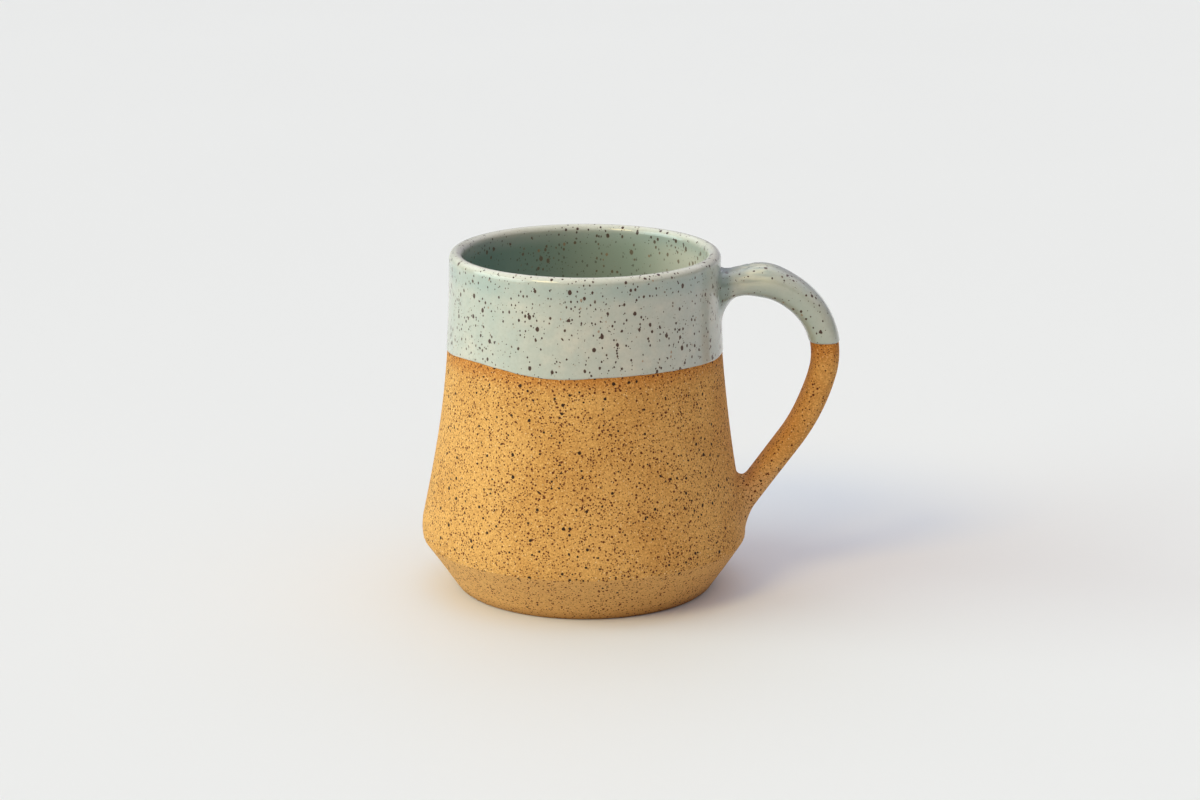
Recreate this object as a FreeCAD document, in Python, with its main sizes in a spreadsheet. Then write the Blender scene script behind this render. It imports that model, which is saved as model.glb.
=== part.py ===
import FreeCAD, Part
import math
import os

import Sketcher

# A thrown stoneware mug: a clay pot with a pulled strap handle, soft clay worked into both
# joints of the handle, a poured glaze lining and a dipped glaze coat over the rim, the upper
# band and the top of the handle.  Millimetres.  The origin is the centre of the foot on the
# resting plane, +Z is up along the axis of the pot, and the handle stands out along +X.

SIZES = {
    "height": 102.0,           # resting plane to the top of the glazed lip
    "coat": 0.35,              # thickness of every glaze coat
    "foot_radius": 38.1,       # outer edge of the foot
    "foot_ring": 5.0,          # width of the ring that the pot stands on
    "foot_hollow": 1.0,        # depth of the turned hollow inside the foot ring
    "edge_height": 15.2,       # where the trimmed bevel meets the belly
    "belly_radius": 48.7,      # widest radius of the pot
    "belly_height": 17.8,      # height of the widest radius
    "belly_bend": 19.4,        # radius of the turn from belly to side
    "neck_radius": 39.9,       # clay radius where the side stands upright under the lip
    "wall": 3.5,               # clay thickness at the lip
    "base": 6.5,               # clay thickness of the floor, above the resting plane
    "bowl_radius": 43.4,       # widest radius of the inside
    "bowl_bend": 14.0,         # radius of the turn from floor to inside wall
    "glaze_line": 73.4,        # lower edge of the dipped coat, on the pot and on the handle
    "crown_reach": 50.1,       # centre of the handle's crown arc, out from the axis
    "crown_height": 70.9,      # centre of the handle's crown arc, above the resting plane
    "crown_bend": 21.8,        # radius of the crown arc, at the middle of the strap
    "grip_bend": 60.0,         # radius of the long arc below the crown
    "tail_reach": 42.0,        # lower end of the strap's middle line, inside the pot wall
    "tail_height": 18.1,
    "strap_width": 13.0,       # strap across the handle
    "strap_depth": 8.0,        # strap from finger side to outside
    "strap_round": 3.7,        # corner radius of the strap
    "upper_reach": 40.2,       # middle of the clay pressed round the upper joint
    "upper_height": 90.9,
    "upper_rise": 7.6,         # half its height along the wall
    "upper_spread": 9.2,       # half its width round the wall
    "upper_thickness": 4.0,    # half its thickness through the wall
    "upper_lean": 2.0,         # lean of the wall there, in degrees
    "lower_reach": 48.2,       # the same for the clay pressed round the lower joint
    "lower_height": 27.0,
    "lower_rise": 9.5,
    "lower_spread": 9.5,
    "lower_thickness": 3.4,
    "lower_lean": 13.0,
    "sleeve_start": 41.4,      # where the pot's coat ends and the handle's coat begins
}

START = 1
END = 2
CENTRE = 3
ORIGIN = (-1, 1)
LEVEL_AXIS = -1
UPRIGHT_AXIS = -2

# First guesses at the angles, in degrees, where the handle's arcs start and end.  The tangent
# rules in its sketch settle them.
CROWN_START = 140
CROWN_END = -15
GRIP_END = -36

# Height at which the side stands upright and the round of the lip begins.
LIP_START = "(sizes.height - sizes.coat - sizes.wall / 2)"

doc = FreeCAD.newDocument("ceramic_mug")


def fill_sheet():
    sheet = doc.addObject("Spreadsheet::Sheet", "sizes")
    for row, (name, number) in enumerate(SIZES.items(), start=1):
        sheet.set(f"A{row}", str(number))
        sheet.setAlias(f"A{row}", name)
    doc.recompute()
    return sheet


sizes = fill_sheet()


class Outline:
    """Lines and arcs of one sketch, with every corner and bend held by a formula on the sheet."""

    def __init__(self, body, name, support=None, mode="FlatFace"):
        self.sketch = body.newObject("Sketcher::SketchObject", name)
        upright = next(item for item in body.Origin.OriginFeatures if item.Role == "XZ_Plane")
        self.sketch.AttachmentSupport = support or [(upright, "")]
        self.sketch.MapMode = mode

    def value(self, formula):
        return float(self.sketch.evalExpression(formula))

    def corner(self, piece, point):
        place = self.sketch.getPoint(piece, point)
        return place.x, place.y

    def line(self, start, end):
        return self.sketch.addGeometry(Part.LineSegment(FreeCAD.Vector(*start), FreeCAD.Vector(*end)), False)

    def arc(self, centre, radius, first, last):
        """An arc drawn anticlockwise between two angles in degrees."""
        circle = Part.Circle(FreeCAD.Vector(*centre), FreeCAD.Vector(0, 0, 1), radius)
        return self.sketch.addGeometry(
            Part.ArcOfCircle(circle, math.radians(first), math.radians(last)), False)

    def rule(self, kind, *where):
        self.sketch.addConstraint(Sketcher.Constraint(kind, *where))

    def hold(self, kind, formula, *where):
        number = self.sketch.addConstraint(Sketcher.Constraint(kind, *where, self.value(formula)))
        self.sketch.setExpression(f"Constraints[{number}]", formula)

    def place(self, piece, point, across, up):
        """Holds one point of a piece at a distance out from the axis and a height."""
        self.hold("DistanceX", across, *ORIGIN, piece, point)
        self.hold("DistanceY", up, *ORIGIN, piece, point)

    def curved_wall(self, neck, bulge, bulge_height, bend, lowest):
        """A tight arc about the widest height and a long hollow arc, upright at the lip.

        Returns the tight arc, which starts at its lower end, and the long one, which starts
        at the lip."""
        neck_at = self.value(neck)
        lip_at = self.value(LIP_START)
        tight_at = self.value(f"{bulge} - ({bend})")
        middle_at = self.value(bulge_height)
        tight_radius = self.value(bend)
        inset = neck_at - tight_at
        rise = lip_at - middle_at
        long_radius = (inset**2 + rise**2 - tight_radius**2) / (2 * (tight_radius - inset))
        turn = math.degrees(math.asin(rise / (tight_radius + long_radius)))
        tight = self.arc((tight_at, middle_at), tight_radius, lowest, turn)
        long = self.arc((neck_at + long_radius, lip_at), long_radius, 180, 180 + turn)
        self.place(tight, CENTRE, f"{bulge} - ({bend})", bulge_height)
        self.hold("Radius", bend, tight)
        self.rule("Horizontal", long, CENTRE, long, START)
        self.rule("Tangent", tight, END, long, END)
        return tight, long

    def lip(self, grow, outside):
        """The half-round lip, growing outwards by the coat, from the outside wall's arc."""
        middle = "sizes.neck_radius - sizes.wall / 2"
        lip = self.arc((self.value(middle), self.value(LIP_START)), self.value(f"sizes.wall / 2 + {grow}"),
                       0, 180)
        self.place(lip, CENTRE, middle, LIP_START)
        self.rule("Coincident", lip, START, outside, START)
        self.rule("Horizontal", lip, CENTRE, lip, END)
        return lip

    def outside(self, grow):
        """The bevel, belly and side of the pot, grown by a coat."""
        edge_drop = self.value("(sizes.edge_height - sizes.belly_height) / sizes.belly_bend")
        edge_turn = math.degrees(math.asin(edge_drop))
        tight, long = self.curved_wall(
            f"sizes.neck_radius + {grow}", f"sizes.belly_radius + {grow}", "sizes.belly_height",
            f"sizes.belly_bend + {grow}", edge_turn)
        self.place(long, START, f"sizes.neck_radius + {grow}", LIP_START)
        self.hold("DistanceY", "sizes.edge_height", *ORIGIN, tight, START)
        bevel = self.line((self.value("sizes.foot_radius"), 0), self.corner(tight, START))
        self.hold("DistanceX", f"sizes.foot_radius + {grow}", *ORIGIN, bevel, START)
        self.rule("Coincident", bevel, END, tight, START)
        return bevel, long

    def inside(self, shrink):
        """The inside wall and floor of the pot, moved in by a coat.  Returns the floor and wall."""
        floor_at = f"sizes.base + {shrink}"
        bend = f"sizes.bowl_bend - {shrink}"
        tight, long = self.curved_wall(
            f"sizes.neck_radius - sizes.wall - {shrink}", f"sizes.bowl_radius - {shrink}",
            f"{floor_at} + {bend}", bend, -90)
        floor = self.line((0, self.value(floor_at)), self.corner(tight, START))
        self.rule("PointOnObject", floor, START, UPRIGHT_AXIS)
        self.rule("Horizontal", floor)
        self.rule("Tangent", floor, END, tight, START)
        return floor, long

    def cover(self, wall, point):
        """A level line from the axis to one end of a wall.  Returns the line."""
        cover = self.line((0, self.value(LIP_START)), self.corner(wall, point))
        self.rule("PointOnObject", cover, START, UPRIGHT_AXIS)
        self.rule("Horizontal", cover)
        self.rule("Coincident", cover, END, wall, point)
        return cover

    def close_on_axis(self, upper, lower):
        """The straight side of the outline, along the axis, between the starts of two lines."""
        side = self.line(self.corner(upper, START), self.corner(lower, START))
        self.rule("Coincident", side, START, upper, START)
        self.rule("Coincident", side, END, lower, START)


def new_body(label):
    body = doc.addObject("PartDesign::Body", label)
    body.Label = label
    return body


def revolve(body, outline, kind="PartDesign::Revolution"):
    turned = body.newObject(kind, outline.sketch.Name + "_turned")
    turned.Profile = outline.sketch
    turned.ReferenceAxis = (outline.sketch, ["V_Axis"])
    turned.Angle = 360
    doc.recompute()
    return turned


def clay_body():
    """Thrown wall and floor, with the foot bevel trimmed and the foot ring turned."""
    body = new_body("clay_body")
    outline = Outline(body, "pot_section")
    bevel, outer = outline.outside("0")
    lip = outline.lip("0", outer)
    floor, inner = outline.inside("0")
    outline.rule("Coincident", inner, START, lip, END)
    ring_in = outline.value("sizes.foot_radius - sizes.foot_ring")
    hollow = outline.value("sizes.foot_hollow")
    foot = outline.line((ring_in, 0), outline.corner(bevel, START))
    step = outline.line((ring_in - hollow, hollow), (ring_in, 0))
    under = outline.line((0, hollow), (ring_in - hollow, hollow))
    outline.rule("Coincident", foot, END, bevel, START)
    outline.rule("PointOnObject", foot, START, LEVEL_AXIS)
    outline.rule("PointOnObject", foot, END, LEVEL_AXIS)
    outline.hold("DistanceX", "sizes.foot_radius - sizes.foot_ring", *ORIGIN, foot, START)
    outline.rule("Coincident", step, END, foot, START)
    outline.rule("Coincident", under, END, step, START)
    outline.rule("Horizontal", under)
    outline.rule("PointOnObject", under, START, UPRIGHT_AXIS)
    outline.place(step, START, "sizes.foot_radius - sizes.foot_ring - sizes.foot_hollow", "sizes.foot_hollow")
    outline.close_on_axis(floor, under)
    revolve(body, outline)
    return body


def pot_form(name, grow):
    """The outside of the pot filled solid up to the lip, grown by a coat."""
    body = new_body(name)
    outline = Outline(body, name + "_section")
    bevel, outer = outline.outside(grow)
    lip = outline.lip(grow, outer)
    foot = outline.line((0, 0), outline.corner(bevel, START))
    outline.rule("Coincident", foot, START, *ORIGIN)
    outline.rule("PointOnObject", foot, END, LEVEL_AXIS)
    outline.rule("Coincident", foot, END, bevel, START)
    outline.close_on_axis(outline.cover(lip, END), foot)
    revolve(body, outline)
    return body


def strap(name, grow):
    """The pulled strap along its middle line: a crown arc, a long arc and a straight tail."""
    body = new_body(name)
    route = Outline(body, name + "_route")
    centre = FreeCAD.Vector(route.value("sizes.crown_reach"), route.value("sizes.crown_height"))
    crown_radius = route.value("sizes.crown_bend")
    grip_radius = route.value("sizes.grip_bend")
    turn = math.radians(CROWN_END)
    grip_centre = centre + FreeCAD.Vector(math.cos(turn), math.sin(turn)) * (crown_radius - grip_radius)
    crown = route.arc(centre, crown_radius, CROWN_END, CROWN_START)
    grip = route.arc(grip_centre, grip_radius, GRIP_END, CROWN_END)
    tail_start = (route.value("sizes.tail_reach"), route.value("sizes.tail_height"))
    tail = route.line(tail_start, route.corner(grip, START))
    route.place(crown, CENTRE, "sizes.crown_reach", "sizes.crown_height")
    route.hold("Radius", "sizes.crown_bend", crown)
    route.hold("DistanceX", "sizes.neck_radius - 2 * sizes.wall", *ORIGIN, crown, END)
    route.hold("Radius", "sizes.grip_bend", grip)
    route.rule("Tangent", crown, START, grip, END)
    route.place(tail, START, "sizes.tail_reach", "sizes.tail_height")
    route.rule("Tangent", tail, END, grip, START)
    doc.recompute()
    section = strap_section(body, name, route.sketch, grow)
    pipe = body.newObject("PartDesign::AdditivePipe", name + "_pipe")
    pipe.Profile = section
    pipe.Spine = route.sketch
    doc.recompute()
    return body


def strap_section(body, name, route, grow):
    """A rectangle with round corners, square to the tail of the route, grown by a coat."""
    section = Outline(body, name + "_section", support=[(route, "Vertex1"), (route, "Edge1")],
                      mode="NormalToEdge")
    across = section.value("sizes.strap_width / 2 - sizes.strap_round")
    up = section.value("sizes.strap_depth / 2 - sizes.strap_round")
    bend = section.value(f"sizes.strap_round + {grow}")
    middles = ((across, up, 0), (-across, up, 90), (-across, -up, 180), (across, -up, 270))
    corners = [section.arc((x, y), bend, first, first + 90) for x, y, first in middles]
    sides = [section.line((across, up + bend), (-across, up + bend)),
             section.line((-across - bend, up), (-across - bend, -up)),
             section.line((-across, -up - bend), (across, -up - bend)),
             section.line((across + bend, -up), (across + bend, up))]
    for number, side in enumerate(sides):
        section.rule("Tangent", corners[number], END, side, START)
        section.rule("Tangent", side, END, corners[(number + 1) % 4], START)
        section.rule("Vertical" if number % 2 else "Horizontal", side)
    for corner in corners[1:]:
        section.rule("Equal", corners[0], corner)
    section.hold("Radius", f"sizes.strap_round + {grow}", corners[0])
    section.place(corners[0], CENTRE, "sizes.strap_width / 2 - sizes.strap_round",
                  "sizes.strap_depth / 2 - sizes.strap_round")
    section.rule("Symmetric", corners[0], CENTRE, corners[2], CENTRE, *ORIGIN)
    return section.sketch


def liner_glaze():
    """The poured lining: a thin coat over the whole floor and inside wall, up to the lip."""
    body = new_body("liner_glaze")
    for name, shrink, kind in (("bowl_section", "0", "PartDesign::Revolution"),
                               ("lining_section", "sizes.coat", "PartDesign::Groove")):
        outline = Outline(body, name)
        floor, wall = outline.inside(shrink)
        outline.place(wall, START, f"sizes.neck_radius - sizes.wall - {shrink}", LIP_START)
        outline.close_on_axis(outline.cover(wall, START), floor)
        revolve(body, outline, kind)
    return body


def joint_pad(name, joint, grow):
    """A roll of soft clay pressed flat round one joint of the handle, grown by a coat."""
    pad = doc.addObject("Part::Ellipsoid", name)
    pad.setExpression("Radius1", f"sizes.{joint}_thickness + {grow}")
    pad.setExpression("Radius2", f"sizes.{joint}_rise + {grow}")
    pad.setExpression("Radius3", f"sizes.{joint}_spread + {grow}")
    pad.Placement = FreeCAD.Placement(FreeCAD.Vector(0, 0, 0), FreeCAD.Vector(0, 1, 0), 90)
    pad.setExpression("Placement.Base.x", f"sizes.{joint}_reach")
    pad.setExpression("Placement.Base.z", f"sizes.{joint}_height")
    pad.setExpression("Placement.Rotation.Angle", f"90 - sizes.{joint}_lean")
    return pad


def join(name, *solids):
    """Several solids as one."""
    whole = doc.addObject("Part::MultiFuse", name)
    whole.Shapes = list(solids)
    return whole


def cut(label, base, tool):
    """What is left of one solid outside another."""
    left = doc.addObject("Part::Cut", label)
    left.Label = label
    left.Base = base
    left.Tool = tool
    return left


def above_glaze_line(label, skin, start, end):
    """The stretch of a skin above the glaze line, between two distances along X."""
    region = doc.addObject("Part::Box", label + "_region")
    region.setExpression("Length", f"{end} - ({start})")
    region.setExpression("Width", "2 * sizes.height")
    region.setExpression("Height", "sizes.height")
    region.setExpression("Placement.Base.x", start)
    region.setExpression("Placement.Base.y", "-sizes.height")
    region.setExpression("Placement.Base.z", "sizes.glaze_line")
    kept = doc.addObject("Part::Common", label)
    kept.Label = label
    kept.Base = skin
    kept.Tool = region
    return kept


def write(pieces):
    """Checks every object and sub-part, then writes one file for each sub-part."""
    doc.recompute()
    broken = [item.Label for item in doc.Objects if "Invalid" in item.State or "Error" in item.State]
    broken += [piece.Label for piece in pieces if piece.Shape.isNull() or not piece.Shape.isValid()]
    if broken:
        raise RuntimeError(f"not built: {broken}")
    os.makedirs("parts", exist_ok=True)
    for piece in pieces:
        piece.Shape.exportStep(f"parts/{piece.Label}.step")
        print(f"{piece.Label}: {len(piece.Shape.Solids)} solid, {piece.Shape.Volume:.1f} mm3")


bare_pot = pot_form("bare_pot", "0")
bare_strap = strap("bare_strap", "0")
upper_pad = joint_pad("upper_pad", "upper", "0")
lower_pad = joint_pad("lower_pad", "lower", "0")
bare = join("bare", bare_pot, bare_strap, upper_pad)
coated = join("coated", pot_form("coated_pot", "sizes.coat"), strap("coated_strap", "sizes.coat"),
              joint_pad("coated_pad", "upper", "sizes.coat"))
skin = cut("skin", coated, bare)

write([
    clay_body(),
    cut("handle", bare_strap, bare_pot),
    cut("upper_joint_coil", cut("upper_pad_round_strap", upper_pad, bare_strap), bare_pot),
    cut("lower_joint_coil", cut("lower_pad_round_strap", lower_pad, bare_strap), bare_pot),
    liner_glaze(),
    above_glaze_line("dipped_glaze", skin, "-sizes.height", "sizes.sleeve_start"),
    above_glaze_line("handle_glaze", skin, "sizes.sleeve_start", "sizes.height"),
])
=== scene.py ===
import functools
import math

import bmesh
import bpy
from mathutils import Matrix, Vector, noise


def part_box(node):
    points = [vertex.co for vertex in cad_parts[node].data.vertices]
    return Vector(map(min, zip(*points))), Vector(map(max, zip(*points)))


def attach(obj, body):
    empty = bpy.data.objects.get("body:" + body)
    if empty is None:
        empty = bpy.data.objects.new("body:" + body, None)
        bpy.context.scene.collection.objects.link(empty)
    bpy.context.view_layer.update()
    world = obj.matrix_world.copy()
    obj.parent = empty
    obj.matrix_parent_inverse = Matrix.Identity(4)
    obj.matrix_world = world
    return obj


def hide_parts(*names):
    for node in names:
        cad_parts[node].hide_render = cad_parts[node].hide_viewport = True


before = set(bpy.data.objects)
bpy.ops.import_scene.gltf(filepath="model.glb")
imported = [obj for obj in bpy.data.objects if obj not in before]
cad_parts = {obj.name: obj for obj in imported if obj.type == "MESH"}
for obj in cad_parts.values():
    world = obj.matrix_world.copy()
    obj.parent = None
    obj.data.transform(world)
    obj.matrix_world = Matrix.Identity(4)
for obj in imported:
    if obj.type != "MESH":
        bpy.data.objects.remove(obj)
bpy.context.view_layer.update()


# ------------------------------------------------------------------------------------------
# The pot.  A wall and floor thrown in one from speckled, grogged stoneware clay.  A wide bevel
# is trimmed under the belly and a shallow hollow is turned inside the foot.  It is fired bare.

MM = 0.001
belly_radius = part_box("clay_body")[1].x
pot_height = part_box("clay_body")[1].z
belly_height = 17.8 * MM
belly_bend = 19.4 * MM
edge_height = 15.2 * MM
foot_radius = 38.1 * MM
foot_ring = 5.0 * MM
foot_hollow = 1.0 * MM
foot_round = 1.1 * MM
ring_gap = 3.1 * MM
neck_radius = 39.9 * MM
wall = 3.5 * MM
base = 6.5 * MM
bowl_radius = 43.4 * MM
bowl_bend = 14.0 * MM
lip_start = pot_height - wall / 2


class CurvedWall:
    """A tight arc about the widest height, running into a long hollow arc upright at the lip."""

    def __init__(self, neck, bulge, height, bend):
        self.neck, self.height, self.bend = neck, height, bend
        self.tight_at = bulge - bend
        inset = neck - self.tight_at
        rise = lip_start - height
        self.long_bend = (inset**2 + rise**2 - bend**2) / (2 * (bend - inset))
        self.meet = height + rise * bend / (bend + self.long_bend)

    def radius(self, z):
        """Radius of the wall at a height."""
        if z < self.meet:
            return self.tight_at + math.sqrt(max(self.bend**2 - (z - self.height) ** 2, 0))
        drop = lip_start - min(z, lip_start)
        return self.neck + self.long_bend - math.sqrt(self.long_bend**2 - drop**2)


outside = CurvedWall(neck_radius, belly_radius, belly_height, belly_bend)
inside = CurvedWall(neck_radius - wall, bowl_radius, base + bowl_bend, bowl_bend)
edge_radius = outside.radius(edge_height)


def steps_between(low, high, step):
    """Even heights from low to high, both included."""
    count = max(1, round(abs(high - low) / step))
    return [low + (high - low) * i / count for i in range(count + 1)]


def side_radius(z):
    """Radius of the clay outside at a height."""
    if z < edge_height:
        return foot_radius + (edge_radius - foot_radius) * z / edge_height
    return outside.radius(z)


def smooth_step(value, low, high):
    """0 below low, 1 above high, smooth between."""
    t = min(max((value - low) / (high - low), 0.0), 1.0)
    return t * t * (3 - 2 * t)


def out_of_true(z):
    """How far the pot leans towards its handle at a height, as thrown and trimmed."""
    trimmed = 0.35 * (1 - smooth_step(z, 8 * MM, 20 * MM))
    thrown = 0.42 * smooth_step(z, 24 * MM, 62 * MM)
    return (trimmed + thrown) * MM


def slow_wobble(angle, z):
    """The slow unevenness of a wall shaped by hand, always inwards."""
    there = Vector((math.cos(angle), math.sin(angle), z / (40 * MM)))
    return -0.11 * (1 + noise.noise(there * 0.9)) * MM


def throwing_rings(angle, z):
    """Faint ridges left by the fingers as the wall was drawn up."""
    ring = math.sin(math.tau * (z / ring_gap + angle / math.tau))
    return 0.03 * ring * (0.5 + 0.5 * noise.noise(Vector((0, 7, z / (9 * MM))))) * MM


def torn_edge(point):
    """Grog dragged out along the edge where the bevel was cut."""
    near = max(0.0, 1 - abs(point.z - edge_height) / (1.3 * MM))
    pull = noise.noise(point / (1.1 * MM)) + 0.6 * noise.noise(point / (0.5 * MM))
    return (-0.05 - 0.22 * max(pull, -0.2)) * near * MM


def shape_by_hand(piece, is_outside, torn=0.0):
    """Moves a turned piece from true to the way that this pot was thrown, trimmed and leans."""
    for vertex in piece.data.vertices:
        point = vertex.co
        angle = math.atan2(point.y, point.x)
        outward = Vector((math.cos(angle), math.sin(angle), 0))
        if is_outside(point):
            fade = smooth_step(lip_start + 1 * MM - point.z, 0, 4 * MM)
            push = slow_wobble(angle, point.z) + throwing_rings(angle, point.z) * fade
            push += torn_edge(point) * torn
            point += outward * push
        point.x += out_of_true(point.z)


def turned(name, outline, closed, sides=320):
    """A mesh turned on the wheel from an outline of radius and height."""
    bm = bmesh.new()
    corners = [bm.verts.new((r, 0, z)) for r, z in outline]
    ends = corners[1:] + corners[:1] if closed else corners[1:]
    edges = [bm.edges.new(pair) for pair in zip(corners, ends)]
    bmesh.ops.spin(bm, geom=corners + edges, cent=(0, 0, 0), axis=(0, 0, 1), dvec=(0, 0, 0),
                   angle=math.tau, steps=sides, use_merge=True, use_duplicate=False)
    bmesh.ops.remove_doubles(bm, verts=bm.verts, dist=1e-6)
    bmesh.ops.recalc_face_normals(bm, faces=bm.faces)
    return finish_mesh(name, bm)


def finish_mesh(name, bm):
    """Shades the faces smooth, but for sharp edges, and puts the piece in the scene."""
    for face in bm.faces:
        face.smooth = True
    mesh = bpy.data.meshes.new(name)
    bm.to_mesh(mesh)
    bm.free()
    mesh.set_sharp_from_angle(angle=math.radians(50))
    piece = bpy.data.objects.new(name, mesh)
    bpy.context.scene.collection.objects.link(piece)
    return piece


def rounded(points, centre, radius, first, last, count):
    """Adds an arc to an outline, by its angles in degrees."""
    for i in range(count + 1):
        angle = math.radians(first + (last - first) * i / count)
        points.append((centre[0] + radius * math.cos(angle), centre[1] + radius * math.sin(angle)))


def pot_outline():
    """Radius and height from the foot's middle, up the outside, over the lip and down the cup."""
    ring_in = foot_radius - foot_ring
    points = [(0, foot_hollow)]
    for r in steps_between(0.8 * MM, ring_in - 2 * MM, 0.8 * MM):
        trimming_ring = 0.05 * MM * math.sin(r / (0.55 * MM))
        points.append((r, foot_hollow + trimming_ring))
    points += [(ring_in - foot_hollow, foot_hollow * 0.9), (ring_in - 0.2 * MM, 0.12 * MM)]
    points += [(ring_in + 0.2 * MM, 0), (ring_in + foot_ring / 2, 0)]
    points += [(foot_radius - foot_round, 0), (foot_radius - 0.45 * MM, 0.16 * MM)]
    points += [(foot_radius - 0.02 * MM, 0.5 * MM)]
    edge_low, edge_high = edge_height - 1.5 * MM, edge_height + 1.5 * MM
    points += [(side_radius(z), z) for z in steps_between(0.9 * MM, edge_low, 0.9 * MM)]
    points += [(side_radius(z), z) for z in steps_between(edge_low, edge_high, 0.25 * MM)[1:-1]]
    points += [(side_radius(z), z) for z in steps_between(edge_high, lip_start, 0.8 * MM)]
    rounded(points, (neck_radius - wall / 2, lip_start), wall / 2, 15, 165, 8)
    points += [(inside.radius(z), z) for z in steps_between(lip_start, base + bowl_bend, 3 * MM)]
    rounded(points, (bowl_radius - bowl_bend, base + bowl_bend), bowl_bend, -10, -90, 8)
    points += [(0, base)]
    return points


def on_outside(point):
    """Whether a point of the turned pot is on its outer side, above the foot."""
    return point.z > 0.2 * MM and math.hypot(point.x, point.y) > side_radius(point.z) - 0.9 * MM


pot = turned("thrown_pot", pot_outline(), closed=False)
shape_by_hand(pot, on_outside, torn=1.0)


class Wire:
    """A value or colour running through a material.  Arithmetic on values adds Math nodes."""

    def __init__(self, bench, socket):
        self.bench = bench
        self.socket = socket

    def other(self, output):
        """Another output of the same node."""
        return Wire(self.bench, self.socket.node.outputs[output])

    def math(self, operation, *values):
        """A Math node on these values."""
        return self.bench.node("Math", {"operation": operation}, values)

    def __add__(self, other):
        return self.math("ADD", self, other)

    def __sub__(self, other):
        return self.math("SUBTRACT", self, other)

    def __rsub__(self, other):
        return self.math("SUBTRACT", other, self)

    def __mul__(self, other):
        return self.math("MULTIPLY", self, other)

    def __pow__(self, other):
        return self.math("POWER", self, other)

    __radd__ = __add__
    __rmul__ = __mul__


class Bench:
    """Where one material is put together, node by node."""

    def __init__(self, name):
        self.material = bpy.data.materials.new(name)
        self.material.use_nodes = True
        self.tree = self.material.node_tree
        self.tree.nodes.clear()

    def node(self, kind, settings=None, values=(), output=0):
        """Adds a node, sets it up, then gives its sockets values or links, by place or by name."""
        node = self.tree.nodes.new("ShaderNode" + kind)
        for key, value in (settings or {}).items():
            setattr(node, key, value)
        named = values.items() if isinstance(values, dict) else enumerate(values)
        for key, value in named:
            if isinstance(value, Wire):
                self.tree.links.new(value.socket, node.inputs[key])
            else:
                node.inputs[key].default_value = value
        return Wire(self, node.outputs[output])

    def place(self):
        """Place on the piece, in millimetres."""
        place = self.node("TexCoord", output="Object")
        return self.vector("SCALE", place, scale=1 / MM)

    def vector(self, operation, first, second=None, scale=None):
        """Vector Math on one or two places or directions."""
        values = {0: first}
        if second is not None:
            values[1] = second
        if scale is not None:
            values["Scale"] = scale
        return self.node("VectorMath", {"operation": operation}, values)

    def axis(self, place, letter):
        """One of the three measures of a place."""
        return self.node("SeparateXYZ", None, [place], output=letter)

    def length(self, way):
        """How long a direction is."""
        return self.node("VectorMath", {"operation": "LENGTH"}, [way], output="Value")

    def grain(self, place, size, detail=2.0, rough=0.5):
        """Soft noise from 0 to 1, with lumps of about this size in millimetres."""
        values = {"Vector": place, "Scale": 1 / size, "Detail": detail, "Roughness": rough}
        return self.node("TexNoise", {"noise_dimensions": "3D"}, values)

    def ramp(self, value, low, high):
        """0 below low, 1 above high, smooth between.  High may be under low."""
        settings = {"interpolation_type": "SMOOTHSTEP", "clamp": True}
        return self.node("MapRange", settings, {0: value, 1: low, 2: high, 3: 0.0, 4: 1.0})

    def mix(self, amount, first, second):
        """Two colours mixed."""
        settings = {"data_type": "RGBA", "blend_type": "MIX", "clamp_factor": True}
        values = {0: amount, 6: colour(first), 7: colour(second)}
        return self.node("Mix", settings, values, output=2)

    def jitter(self, place, size, reach):
        """The same place, pushed about so that round marks come out ragged."""
        values = {"Vector": place, "Scale": 1 / size}
        push = self.node("TexNoise", {"noise_dimensions": "3D"}, values, output="Color")
        push = self.vector("SUBTRACT", push, (0.5, 0.5, 0.5))
        return self.vector("ADD", place, self.vector("SCALE", push, scale=reach))

    def specks(self, place, cell, share, small, large, soft, turn):
        """Round spots, one to a cell, in a share of the cells.  Turn picks another pattern.

        The cell, the smallest and largest radius and the soft edge are in millimetres.
        """
        shifted = self.vector("ADD", place, (turn * 17.3, turn * 31.7, turn * 11.9))
        settings = {"voronoi_dimensions": "3D", "feature": "F1"}
        values = {"Vector": shifted, "Scale": 1 / cell, "Randomness": 1.0}
        distance = self.node("TexVoronoi", settings, values, output="Distance")
        draw = self.node("SeparateColor", None, [distance.other("Color")], output="Red")
        chance = draw.other("Green")
        size = small / cell + (large - small) / cell * draw**3.0
        there = self.node("Math", {"operation": "LESS_THAN"}, [chance, share])
        return self.ramp(distance, size, size - soft / cell) * there

    def darkest(self, *masks):
        """The strongest of several masks at each place."""
        strongest = masks[0]
        for mask in masks[1:]:
            strongest = self.node("Math", {"operation": "MAXIMUM"}, [strongest, mask])
        return strongest

    def surface(self, base, roughness, height, ior=1.5):
        """The finished surface, with its relief in millimetres."""
        relief = {"Strength": 1.0, "Distance": MM, "Height": height}
        normal = self.node("Bump", None, relief, output="Normal")
        values = {"Base Color": base, "Roughness": roughness, "Normal": normal, "IOR": ior}
        shader = self.node("BsdfPrincipled", None, values, output="BSDF")
        out = self.tree.nodes.new("ShaderNodeOutputMaterial")
        self.tree.links.new(shader.socket, out.inputs["Surface"])
        return self.material


def colour(value):
    """A colour for a socket: a wire as it is, a plain colour with full cover."""
    return value if isinstance(value, Wire) else (*value, 1.0)


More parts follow.
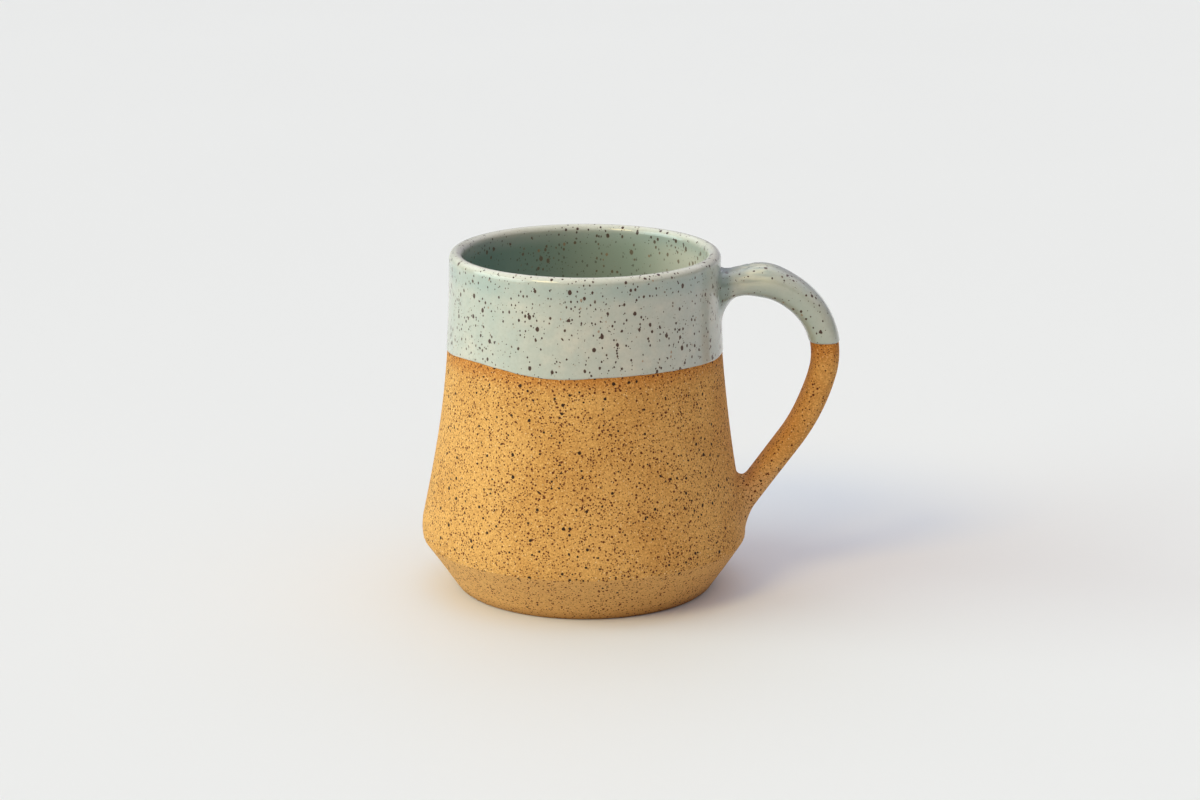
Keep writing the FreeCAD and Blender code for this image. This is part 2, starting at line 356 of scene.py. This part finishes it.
golden = (0.616, 0.296, 0.071)
sandy = (0.697, 0.358, 0.097)
burnt = (0.50, 0.165, 0.018)
trimmed_grey = (0.657, 0.352, 0.112)
speck_brown = (0.120, 0.024, 0.002)
speck_dark = (0.034, 0.013, 0.003)
pale_grit = (1.0, 0.76, 0.40)
light_sand = (1.0, 0.58, 0.17)
dark_sand = (0.36, 0.145, 0.027)
foot_painted_shade = (0.36, 0.145, 0.03)
dark_lump = (0.35, 0.14, 0.03)
paler_low_right_clay = (0.80, 0.52, 0.30)
glaze_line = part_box("dipped_glaze")[0].z


def bare_clay(name, redder):
    """Bare fired clay: sandy golden orange, with iron specks and pale grit in it, and painted
    shade at the foot.
    """
    bench = Bench(name)
    place = bench.place()
    height = bench.axis(place, "Z")
    cloudy = bench.grain(place, 20.0, 3.0)
    lumpy = bench.grain(place, 1.7, 2.0)
    sand = bench.grain(place, 0.55, 2.0, 0.7)
    tone = bench.mix(bench.ramp(cloudy, 0.38, 0.62), golden, sandy)
    away = redder(bench, place)
    tone = bench.mix(away * 0.3, tone, burnt)
    # Paler clay on the handle's side below about 30 to 42 mm high, round the lower joint.
    paler_low_right = bench.ramp(bench.axis(place, "X"), 45.0, 50.0) * bench.ramp(height, 42.0, 30.0)
    tone = bench.mix(paler_low_right * 0.3, tone, paler_low_right_clay)
    line = glaze_line / MM
    flashing = bench.ramp(height + 2.0 * lumpy, line - 5.5, line + 2.0)
    tone = bench.mix(flashing * 0.95, tone, burnt)
    edge = edge_height / MM
    trimmed = bench.ramp(height + 0.6 * lumpy, edge + 0.6, edge)
    tone = bench.mix(trimmed * 0.8, tone, trimmed_grey)
    calm = 1 - 0.4 * trimmed
    tone = bench.mix(bench.ramp(sand, 0.52, 0.30) * calm * 0.42, tone, light_sand)
    tone = bench.mix(bench.ramp(sand, 0.45, 0.72) * calm * 0.5, tone, dark_sand)
    # Painted shade: the clay darkens over the lowest 4 mm, where the foot meets the floor.
    tone = bench.mix(bench.ramp(height, 4.0, 0.6) * 0.5, tone, foot_painted_shade)
    tone = bench.mix(bench.ramp(lumpy, 0.55, 0.75) * 0.15, tone, dark_lump)

    at_edge = bench.ramp(height, edge + 3.5, edge + 0.3) * (1 - trimmed)
    grit = bench.specks(place, 0.8, 0.5 + 0.45 * at_edge, 0.14, 0.26, 0.08, 1)
    grit = grit * (0.5 + 0.45 * at_edge) * (1 - 0.5 * trimmed)
    tone = bench.mix(grit, tone, pale_grit)

    drifts = bench.ramp(bench.grain(place, 9.0, 2.0), 0.35, 0.65)
    crowd = (0.72 + 0.55 * drifts) * (1 - 0.4 * away)
    ragged = bench.jitter(place, 0.6, 0.3)
    large_share = 0.75 * crowd * (1 - 0.8 * trimmed)
    middling_share = 0.95 * crowd * (1 - 0.4 * trimmed)
    large = bench.specks(ragged, 2.4, large_share, 0.35, 0.60, 0.06, 2)
    middling = bench.specks(ragged, 1.2, middling_share, 0.26, 0.40, 0.03, 3)
    small = bench.specks(ragged, 0.75, 0.9 * crowd, 0.18, 0.27, 0.03, 4)
    dust = bench.specks(place, 0.6, 0.5 * crowd, 0.11, 0.16, 0.05, 9)
    iron = bench.darkest(middling, small, dust * 0.65)
    tone = bench.mix(iron, tone, speck_brown)
    tone = bench.mix(large, tone, speck_dark)
    relief = 0.06 * sand + 0.05 * lumpy + 0.05 * grit - 0.04 * iron
    rough = 0.9 - 0.35 * grit
    return bench.surface(tone, rough, relief * (1 - 0.55 * trimmed), ior=1.45)


def plain(bench, place):
    """How much redder the pot fired: nowhere."""
    return 0.0


pot.data.materials.append(bare_clay("speckled_clay", plain))
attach(pot, "root")
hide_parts("clay_body")


# ------------------------------------------------------------------------------------------
# The handle.  A strap pulled from a lump of the same clay, bent into an ear and scored on to
# the wall under the lip and at the belly.  Soft clay is thumbed round both ends of it.

crown_centre = Vector((50.1, 0, 70.9)) * MM
crown_bend = 21.8 * MM
grip_bend = 60.0 * MM
crown_start = math.radians(139)
crown_end = math.radians(-14.7)
grip_end = math.radians(-35.9)
crown_length = crown_bend * (crown_start - crown_end)
grip_length = grip_bend * (crown_end - grip_end)
tail_length = 31.0 * MM
strap_length = crown_length + grip_length + tail_length
section_squareness = 2 / 2.8

# Millimetres along the strap to the middle of the thumbed pad and to its crease.
thumb_at = 22.5
crease_at = 17.5


def out_at(angle):
    """The way out from the middle of a bend of the strap."""
    return Vector((math.cos(angle), 0, math.sin(angle)))


def middle_line(along):
    """Place on the strap's middle line, and the way to its outer side."""
    if along < crown_length:
        angle = crown_start - along / crown_bend
        return crown_centre + out_at(angle) * crown_bend, out_at(angle)
    grip_centre = crown_centre + out_at(crown_end) * (crown_bend - grip_bend)
    if along < crown_length + grip_length:
        angle = crown_end - (along - crown_length) / grip_bend
        return grip_centre + out_at(angle) * grip_bend, out_at(angle)
    out = out_at(grip_end)
    down = Vector((out.z, 0, -out.x))
    return grip_centre + out * grip_bend + down * (along - crown_length - grip_length), out


# Length along the strap, half its width, half its depth and how far it is set out, in mm.
pulled = [(0, 7.0, 3.6, 0.1), (14, 6.8, 3.6, 0.2), (22, 6.7, 4.2, 0.1), (34, 6.6, 4.3, -0.15),
          (48, 6.5, 4.2, -0.15), (64, 6.3, 3.95, 0.1), (82, 6.2, 3.65, 0.4), (98, 6.4, 3.55, 0.35),
          (112, 6.8, 3.75, 0.1)]


def pulled_to(along):
    """Half width, half depth and set of the strap at a length along it."""
    mm_along = min(max(along / MM, 0.0), pulled[-1][0] - 0.1)
    for (low, *thin), (high, *thick) in zip(pulled, pulled[1:]):
        if mm_along < high:
            t = smooth_step(mm_along, low, high)
            return [(a + (b - a) * t) * MM for a, b in zip(thin, thick)]


def thumb_rest(along, turn):
    """The raised pad at the top of the strap, with creases where it was pressed on."""
    out = max(math.cos(turn), 0.0)
    mm_along = along / MM
    pad = 0.62 * math.exp(-((mm_along - thumb_at) / 5.0) ** 2)
    across = math.sin(turn)
    crease_line = mm_along - crease_at - 2.5 * across
    fold = math.exp(-(crease_line / 2.2) ** 2) * math.sin(crease_line * 2.9)
    return (pad * out + 0.07 * fold * smooth_step(math.cos(turn), -0.5, 0.4)) * MM


def strap_point(along, turn, coat):
    """A point of the strap's surface.  turn runs once round the section, from its outer side."""
    centre, out = middle_line(along)
    half_width, half_depth, set_out = pulled_to(along)
    half_depth += coat
    c, s = math.cos(turn), math.sin(turn)
    depth = math.copysign(abs(c) ** section_squareness, c) * half_depth + set_out
    width = math.copysign(abs(s) ** section_squareness, s) * (half_width + coat)
    return centre + out * (depth + thumb_rest(along, turn)) + Vector((0, width, 0))


def turning_point(inner, outer, holds):
    """Length along the strap where a test that holds at inner fails, found by halving."""
    for _ in range(40):
        middle = (inner + outer) / 2
        if holds(middle):
            inner = middle
        else:
            outer = middle
    return (inner + outer) / 2


def meets_wall(turn, coat, inner, outer):
    """Length along the strap where its surface passes through the wall of the pot."""

    def in_the_wall(along):
        point = strap_point(along, turn, coat)
        from_axis = math.hypot(point.x - out_of_true(point.z), point.y)
        return from_axis < side_radius(point.z) + coat

    return turning_point(inner, outer, in_the_wall)


def on_wall(angle, z, coat):
    """A point on the wall, from the angle round the pot and a height."""
    radius = side_radius(z) + slow_wobble(angle, z) + coat
    return Vector((out_of_true(z) + radius * math.cos(angle), radius * math.sin(angle), z))


class Joint:
    """The hollow curve of soft clay between strap and wall, all round one end of the strap.

    It meets the wall between the inner and outer lengths along the strap.  Above, beside and
    below say how far the clay is thumbed along the strap and along the wall, in millimetres.
    """

    def __init__(self, inner, outer, above, beside, below):
        self.inner, self.outer = inner, outer
        self.above, self.beside, self.below = above, beside, below

    def reach(self, lift):
        """How far the clay is thumbed along the strap and along the wall, in one direction."""
        end = self.above if lift > 0 else self.below
        share = lift * lift
        return [(b + (e - b) * share) * MM for b, e in zip(self.beside, end)]

    @functools.lru_cache(maxsize=None)
    def line(self, turn, coat):
        """Its start on the strap, the meeting place, and its end on the wall."""
        along = meets_wall(turn, coat, self.inner, self.outer)
        corner = strap_point(along, turn, coat)
        root = middle_line(along)[0]
        away = Vector((0, corner.y - root.y, corner.z - root.z)).normalized()
        up_strap, up_wall = self.reach(away.z)
        start = along + math.copysign(up_strap, self.outer - self.inner)
        radius = side_radius(corner.z)
        angle = math.atan2(corner.y, corner.x) + away.y * up_wall / radius
        return start, corner, angle, corner.z + away.z * up_wall, away


upper_joint = Joint(2 * MM, 24 * MM, above=(2.5, 1.2), beside=(4.5, 4.0), below=(7.5, 7.0))
lower_joint = Joint(strap_length, strap_length - 24 * MM, above=(5.0, 4.4), beside=(5.0, 4.5),
                    below=(8.0, 7.5))


def joint_point(joint, turn, coat, share):
    """A point of the joint's curve: share 0 on the strap, 1 on the wall, past 1 sunk into it."""
    start, corner, angle, z, away = joint.line(turn, coat)
    if share <= 1:
        near = strap_point(start, turn, coat)
        far = on_wall(angle, z, coat)
        pull = math.sin((near - corner).angle(far - corner) / 2)
        weights = (1 - share) ** 2, 2 * pull * share * (1 - share), share**2
        return (near * weights[0] + corner * weights[1] + far * weights[2]) / sum(weights)
    past = (share - 1) * MM
    return on_wall(angle + away.y * past / side_radius(z), z + away.z * past,
                   coat - 0.22 * (share - 1) ** 2 * MM)


def sheet(name, across, along, place):
    """A square sheet wrapped into a tube by place(u, v), with its seam and ends closed."""
    bm = bmesh.new()
    bmesh.ops.create_grid(bm, x_segments=across, y_segments=along, size=1)
    for vertex in bm.verts:
        vertex.co = place((vertex.co.x + 1) / 2, (vertex.co.y + 1) / 2)
    bmesh.ops.remove_doubles(bm, verts=bm.verts, dist=1e-7)
    bmesh.ops.holes_fill(bm, edges=bm.edges, sides=0)
    bmesh.ops.recalc_face_normals(bm, faces=bm.faces)
    return finish_mesh(name, bm)


# The share of the handle's length that each joint takes, and the share of the joint's own
# curve at which it ends, sunk into the wall.
joint_share = 0.16
sunk = 2.4


def handle_place(u, v):
    """The whole handle: upper joint, strap and lower joint, from v 0 to 1."""
    turn = u % 1.0 * math.tau
    if v < joint_share:
        return joint_point(upper_joint, turn, 0, sunk * (1 - v / joint_share))
    if v > 1 - joint_share:
        return joint_point(lower_joint, turn, 0, sunk * (1 - (1 - v) / joint_share))
    t = (v - joint_share) / (1 - 2 * joint_share)
    start = upper_joint.line(turn, 0)[0]
    end = lower_joint.line(turn, 0)[0]
    return strap_point(start + (end - start) * t, turn, 0)


handle = sheet("pulled_handle", across=72, along=190, place=handle_place)


def away_from_pot(bench, place):
    """How much redder the handle fired: only clear of the soft clay round its joints."""
    out = bench.axis(place, "X")
    return bench.ramp(out, 51.0, 63.0)


handle.data.materials.append(bare_clay("handle_clay", away_from_pot))
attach(handle, "root")
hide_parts("handle", "upper_joint_coil", "lower_joint_coil")


# ------------------------------------------------------------------------------------------
# The glaze.  The inside is lined by pouring.  The pot is then dipped upside down to below the
# top of its handle, so one coat covers the lip, the upper band and the crown of the handle.

coat = 0.35 * MM
lip_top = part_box("dipped_glaze")[1].z
overlap = 4.0 * MM
bead = 0.6 * MM
under = 0.25 * MM
sleeve_rise = 1.4 * MM


# Where the edge of the dip rises or sags: degrees round the pot, millimetres, and spread.
strays = [(-172, -0.6, 16), (-140, 1.0, 20), (-103, -0.7, 17), (-14, -1.3, 26), (60, 0.7, 35),
          (130, -0.6, 30)]


def line_drift(angle):
    """How far the edge of the dip strays from level, round the pot."""
    drift = 0.0
    for centre, rise, spread in strays:
        apart = (math.degrees(angle) - centre + 180) % 360 - 180
        drift += rise * math.exp(-((apart / spread) ** 2))
    round_pot = Vector((math.cos(angle), math.sin(angle), 3))
    return (drift + 0.12 * noise.noise(round_pot * 6) + 0.06 * noise.noise(round_pot * 20)) * MM


def lip_outline(points, grow, first, last, count):
    """Adds the lip to an outline: a little taller than half round, and grown all round."""
    for i in range(count + 1):
        angle = math.radians(first + (last - first) * i / count)
        across = (wall / 2 + grow) * math.cos(angle)
        up = (lip_top - lip_start + grow - coat) * math.sin(angle)
        points.append((neck_radius - wall / 2 + across, lip_start + up))


def dip_outline():
    """The section of the dipped coat, from its lower bead over the lip and back under itself."""
    low_edge, inner_edge = glaze_line + bead, lip_start - overlap
    points = []
    for i in range(7):
        angle = math.radians(-90 + 15 * i)
        z = low_edge + bead * math.sin(angle)
        points.append((side_radius(z) - 0.02 * MM + (coat + 0.04 * MM) * math.cos(angle), z))
    up_the_side = steps_between(low_edge, lip_start, 0.8 * MM)[1:-1]
    points += [(side_radius(z) + coat, z) for z in up_the_side]
    lip_outline(points, coat, 0, 180, 24)
    down_the_cup = steps_between(lip_start, inner_edge, 0.8 * MM)[1:]
    points += [(inside.radius(z) - coat, z) for z in down_the_cup]
    back_up = steps_between(inner_edge, lip_start, 1.5 * MM)
    points += [(inside.radius(z) + under, z) for z in back_up]
    lip_outline(points, -under, 170, 10, 8)
    back_down = steps_between(lip_start, glaze_line + 0.1 * MM, 1.5 * MM)
    points += [(side_radius(z) - under, z) for z in back_down]
    return points


def on_dip_outside(point):
    """Whether a point of the dip is on the outer half of the wall."""
    return math.hypot(point.x, point.y) > neck_radius - wall / 2


dip = turned("dipped_glaze_coat", dip_outline(), closed=True)
for vertex in dip.data.vertices:
    angle = math.atan2(vertex.co.y, vertex.co.x)
    vertex.co.z += line_drift(angle) * smooth_step(glaze_line + 10 * MM - vertex.co.z, 0, 10 * MM)
shape_by_hand(dip, on_dip_outside)

celadon = (0.525, 0.515, 0.435)
pooled = (0.365, 0.43, 0.385)
cream = (0.69, 0.61, 0.485)
cup_painted_shade = (0.170, 0.275, 0.228)
lit_cup = (0.325, 0.38, 0.305)
iron_spot = (0.050, 0.017, 0.006)
iron_halo = (0.30, 0.135, 0.045)
crest_thin_and_painted_light = (0.75, 0.725, 0.62)
fine_grey = (0.36, 0.34, 0.26)
thumbed_cream = (0.80, 0.75, 0.55)
valley_pooled_and_shaded_green = (0.20, 0.27, 0.22)
under_crown_thick_and_shaded = (0.36, 0.43, 0.375)
cup_brightest_painted_light = (0.66, 0.61, 0.50)


def glaze(name, how_deep):
    """Glossy pale glaze, greener where it lies thick, creamy where thin, with iron specks. Painted
    light and shade lie on the crest, at the handle's top and in the cup.
    """
    bench = Bench(name)
    place = bench.place()
    height = bench.axis(place, "Z")
    out = bench.axis(place, "X")
    cloudy = bench.grain(place, 16.0, 3.0)
    mottle = bench.grain(place, 3.5, 3.0)
    roll = bench.ramp(height, 93.0, 97.5) * bench.ramp(height, 101.0, 99.0)
    crest = bench.ramp(height, 100.3, 101.6)
    thick = 0.35 + 0.35 * roll + 0.8 * (cloudy - 0.5) + 0.5 * (mottle - 0.5)
    tone = bench.mix(bench.ramp(thick, 0.1, 1.0), celadon, pooled)
    tone = bench.mix(bench.ramp(thick, 0.35, -0.1) * 0.6, tone, cream)
    # The crest is paler where the glaze runs thin, and lightened further as painted light.
    tone = bench.mix(crest * 0.62, tone, crest_thin_and_painted_light)
    fine = bench.grain(place, 0.8, 2.0)
    tone = bench.mix(bench.ramp(fine, 0.4, 0.7) * 0.16, tone, fine_grey)
    thumb = bench.ramp(out, 44.5, 47.5) * bench.ramp(out, 59.0, 52.0)
    thumb = thumb * bench.ramp(height, 90.0, 94.5)
    drawn = {"Vector": place, "Rotation": (0, 0.6, 0), "Scale": (0.2, 0.5, 1.0)}
    creases = bench.grain(bench.node("Mapping", None, drawn), 1.3, 2.0)
    tone = bench.mix(thumb * bench.ramp(creases, 0.3, 0.65) * 0.6, tone, thumbed_cream)
    # Darker green in the valley where the top of the strap meets the wall: glaze pooled there,
    # with painted shade.
    pooled_and_shaded_valley = bench.ramp(out, 45.0, 41.8) * bench.ramp(out, 38.3, 40.0)
    pooled_and_shaded_valley = pooled_and_shaded_valley * bench.ramp(height, 97.5, 94.0) * bench.ramp(height, 80.0, 86.0)
    tone = bench.mix(pooled_and_shaded_valley * 0.7, tone, valley_pooled_and_shaded_green)
    # Darker green on the underside of the handle's crown: glaze lies thicker there, with painted
    # shade.
    from_centre = bench.vector("SUBTRACT", place, crown_centre / MM)
    from_centre = bench.vector("MULTIPLY", from_centre, (1.0, 0.0, 1.0))
    underneath_thick_and_shaded = bench.ramp(out, 42.0, 52.0) * bench.ramp(bench.length(from_centre), 26.0, 17.0)
    tone = bench.mix(underneath_thick_and_shaded * 0.8, tone, under_crown_thick_and_shaded)
    # Painted light and shade inside the cup: the lining is coloured darkest on the left, where
    # shade falls, and palest on the right, where light falls.
    cup_painted_light_and_shade = bench.mix(bench.ramp(out, -26.0, 12.0), cup_painted_shade, lit_cup)
    cup_painted_light_and_shade = bench.mix(bench.ramp(out, 12.0, 38.0), cup_painted_light_and_shade, cup_brightest_painted_light)
    deep = how_deep(bench, place, height)
    tone = bench.mix(deep, tone, cup_painted_light_and_shade)

    drifts = bench.ramp(bench.grain(place, 11.0, 2.0), 0.35, 0.65)
    crowd = (0.5 + drifts) * (1 - 0.4 * bench.ramp(out, 43.0, 47.0))
    tall = bench.vector("MULTIPLY", bench.jitter(place, 0.7, 0.35), (1.0, 1.0, 0.75))
    large = bench.specks(tall, 2.3, 0.75 * crowd, 0.38, 0.62, 0.07, 5)
    large_halo = bench.specks(tall, 2.3, 0.75 * crowd, 0.52, 0.80, 0.3, 5)
    middling = bench.specks(tall, 1.4, 0.7 * crowd, 0.26, 0.39, 0.05, 6)
    small = bench.specks(tall, 1.0, 0.6 * crowd, 0.16, 0.24, 0.06, 7)
    faint = bench.specks(place, 0.85, 0.5 * crowd, 0.13, 0.22, 0.1, 10)
    rusty = bench.specks(tall, 2.6, 0.35 + 0.4 * crest, 0.25, 0.5, 0.2, 8)
    halo = bench.darkest(large_halo * 0.4, rusty * 0.65, faint * 0.3)
    tone = bench.mix(halo, tone, iron_halo)
    iron = bench.darkest(large, middling, small * 0.9) * (1 - 0.5 * deep)
    tone = bench.mix(iron, tone, iron_spot)
    relief = 0.06 * cloudy + 0.02 * mottle + 0.015 * iron
    return bench.surface(tone, 0.13 + 0.2 * iron, relief, ior=1.55)


def past_the_lip(bench, place, height):
    """How far a place on the lip has turned into the cup."""
    flat = bench.vector("MULTIPLY", place, (1.0, 1.0, 0.0))
    return bench.ramp(bench.length(flat), 37.6, 36.6) * bench.ramp(height, 101.2, 95.0)


def all_over(bench, place, height):
    """The whole lining, fading in below the lip."""
    return bench.ramp(height, 101.2, 95.0)


def none_of_it(bench, place, height):
    """No part of the handle's coat is in the cup."""
    return 0.0


dip.data.materials.append(glaze("dipped_glaze", past_the_lip))
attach(dip, "root")
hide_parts("dipped_glaze")


def lining_outline():
    """The section of the lining, from its top down the cup to the middle, and back underneath."""
    top = lip_start - overlap
    points = [(inside.radius(z) - coat, z) for z in steps_between(top, base + bowl_bend, 1.2 * MM)]
    rounded(points, (bowl_radius - bowl_bend, base + bowl_bend), bowl_bend - coat, -5, -90, 18)
    points += [(r * MM, base + coat) for r in (24, 18, 12, 6, 0)]
    points += [(0, base - under), (bowl_radius - bowl_bend, base - under)]
    rounded(points, (bowl_radius - bowl_bend, base + bowl_bend), bowl_bend + under, -80, 0, 8)
    points += [(inside.radius(z) + under, z) for z in steps_between(base + bowl_bend, top, 3 * MM)]
    points += [points[0]]
    return points


def nowhere(point):
    """The lining has no outer side."""
    return False


lining = turned("poured_glaze_lining", lining_outline(), closed=False)
shape_by_hand(lining, nowhere)
lining.data.materials.append(glaze("liner_glaze", all_over))
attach(lining, "root")
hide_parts("liner_glaze")


@functools.lru_cache(maxsize=None)
def sleeve_end(turn):
    """Length along the strap where the dip ends on it."""

    def dipped(along):
        return strap_point(along, turn, 0).z > glaze_line + sleeve_rise

    return turning_point(crown_length * 0.5, crown_length + grip_length, dipped)


# The shares of the sleeve's length where its joint ends and its rounded edge starts.
sleeve_joint = 0.3
sleeve_edge = 0.92


def sleeve_place(u, v):
    """The glaze on the upper joint and the crown of the handle."""
    turn = u % 1.0 * math.tau
    if v < sleeve_joint:
        return joint_point(upper_joint, turn, coat, sunk * (1 - v / sleeve_joint))
    start = upper_joint.line(turn, coat)[0]
    end = sleeve_end(turn)
    if v < sleeve_edge:
        t = (v - sleeve_joint) / (sleeve_edge - sleeve_joint)
        return strap_point(start + (end - bead - start) * t, turn, coat)
    t = (v - sleeve_edge) / (1 - sleeve_edge)
    angle = t * math.pi / 2
    thickness = coat * math.cos(angle) - 0.03 * MM * t
    return strap_point(end - bead + bead * math.sin(angle), turn, thickness)


sleeve = sheet("handle_glaze_coat", across=72, along=130, place=sleeve_place)
sleeve.data.materials.append(glaze("handle_glaze", none_of_it))
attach(sleeve, "root")
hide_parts("handle_glaze")


# ------------------------------------------------------------------------------------------
# The studio.  A plain pale floor in a dark room.  Broad soft light comes from overhead, from
# behind and from a window on the left, and a small warm lamp stands in front on the left.

bm = bmesh.new()
bmesh.ops.create_grid(bm, x_segments=1, y_segments=1, size=6)
floor = finish_mesh("floor", bm)
bench = Bench("pale_floor")
darker, paler = (0.80, 0.79, 0.78), (0.82, 0.81, 0.80)
tone = bench.mix(bench.grain(bench.place(), 300.0), darker, paler)
floor.data.materials.append(bench.surface(tone, 0.6, bench.grain(bench.place(), 2.0) * 0.01))

room = bpy.data.worlds.new("room")
bpy.context.scene.world = room
room.use_nodes = True
room.node_tree.nodes["Background"].inputs["Strength"].default_value = 0.0


def soft_light(name, left, up, spread, power, tint):
    """A wide soft light: degrees to the left of the camera, degrees up, and degrees across."""
    left, up = math.radians(left), math.radians(up)
    lamp = bpy.data.lights.new(name, "SUN")
    lamp.angle = math.radians(spread)
    lamp.energy = power * math.pi
    lamp.color = tint
    holder = bpy.data.objects.new(name, lamp)
    level = math.cos(up)
    towards = Vector((-math.sin(left) * level, -math.cos(left) * level, math.sin(up)))
    holder.rotation_euler = towards.to_track_quat("Z", "Y").to_euler()
    bpy.context.scene.collection.objects.link(holder)


soft_light("ceiling", 0, 88, 130, 0.70, (0.89, 0.91, 1.0))
soft_light("back wall", 180, 20, 100, 0.22, (0.8, 0.8, 1.0))
soft_light("window", 80, 15, 55, 0.77, (0.78, 1.0, 0.99))
soft_light("lamp", 40, 42, 20, 0.29, (1.0, 0.79, 0.34))

camera = bpy.data.objects.new("camera", bpy.data.cameras.new("camera"))
bpy.context.scene.collection.objects.link(camera)
look_down = 0.2583
slight_roll = -0.0055
camera.location = (0, -0.8887, 0.2910)
camera.rotation_euler = (math.pi / 2 - look_down, 0, slight_roll)
camera.data.sensor_width = 36
camera.data.lens = 92.4
camera.data.clip_start = 0.01
bpy.context.scene.camera = camera
bpy.context.scene.view_settings.view_transform = "Standard"
